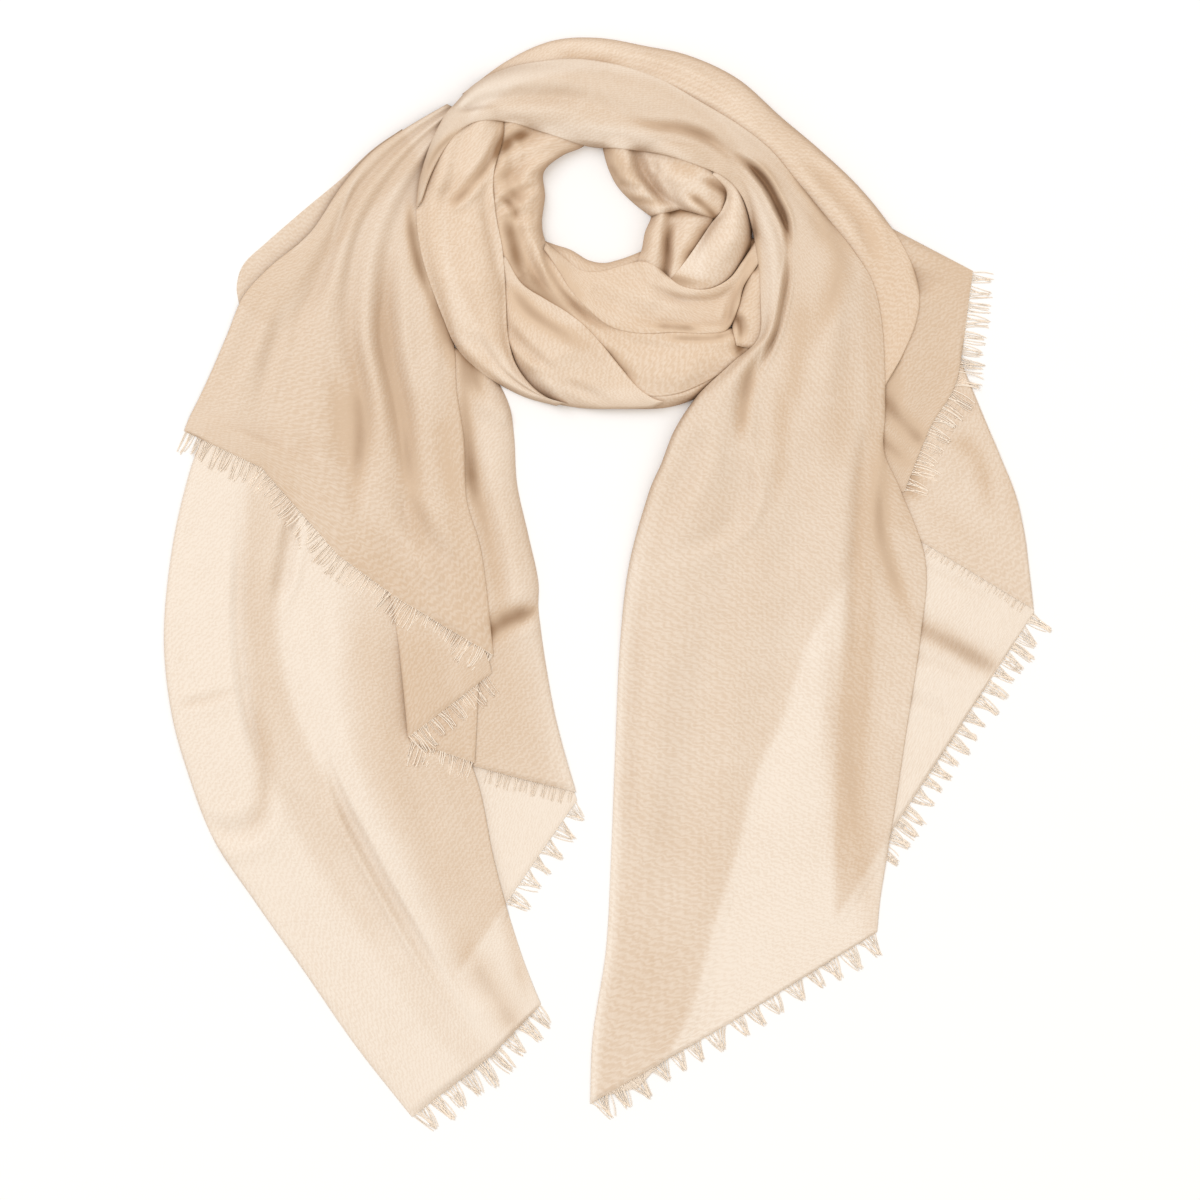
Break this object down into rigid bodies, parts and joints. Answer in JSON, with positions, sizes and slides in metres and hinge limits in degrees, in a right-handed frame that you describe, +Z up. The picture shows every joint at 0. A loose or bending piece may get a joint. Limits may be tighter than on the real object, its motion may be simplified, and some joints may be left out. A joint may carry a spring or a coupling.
{
  "type": "pashmina shawl",
  "caption": "Cream pashmina shawl with eyelash fringe on its short ends, wound once into a neck loop and laid flat, its two tails hanging out below the loop.",
  "frame": {"origin": "centre of the laid shawl's outline, on the surface that it lies on", "axes": "+Z up from the surface; +Y from the tails to the neck loop; +X to the side of the short crossed tail, which is the right with the loop away from the viewer"},
  "size_m": [0.6365, 0.787, 0.0305],
  "materials": {
    "cloth": "matt, sheer plain weave",
    "fringe": "matt, loose yarn ends",
    "hidden_turns": "matt, several layers of the same cloth"
  },
  "bodies": {
    "root": {"arch_middle_band": "cloth", "arch_outer_band": "cloth", "cascade_back_fringe": "fringe", "cascade_middle_fringe": "fringe", "front_lower_swag": "cloth", "front_middle_swag": "cloth", "front_upper_swag": "cloth", "hole_rim_fold": "cloth", "knot_inner_fold": "cloth", "knot_outer_swag": "cloth", "knot_side_fold": "cloth", "knot_upper_fold": "cloth", "left_back_fringe": "fringe", "left_back_panel": "cloth", "left_cascade_back": "cloth", "left_cascade_middle": "cloth", "left_front_tail": "cloth", "left_inner_strip": "cloth", "left_shoulder_back": "cloth", "left_strip_fringe": "fringe", "left_tail_fringe": "fringe", "left_tail_turnback": "cloth", "left_upper_fringe": "fringe", "left_upper_panel": "cloth", "right_back_fold": "cloth", "right_back_fringe": "fringe", "right_back_panel": "cloth", "right_fold_fringe": "fringe", "right_front_tail": "cloth", "right_tail_fringe": "fringe", "right_tail_turnback": "cloth", "right_upper_fringe": "fringe", "right_upper_panel": "cloth", "ring_core": "hidden_turns", "ring_inner_left": "cloth", "ring_left_lobe": "cloth"}
  },
  "joints": []
}
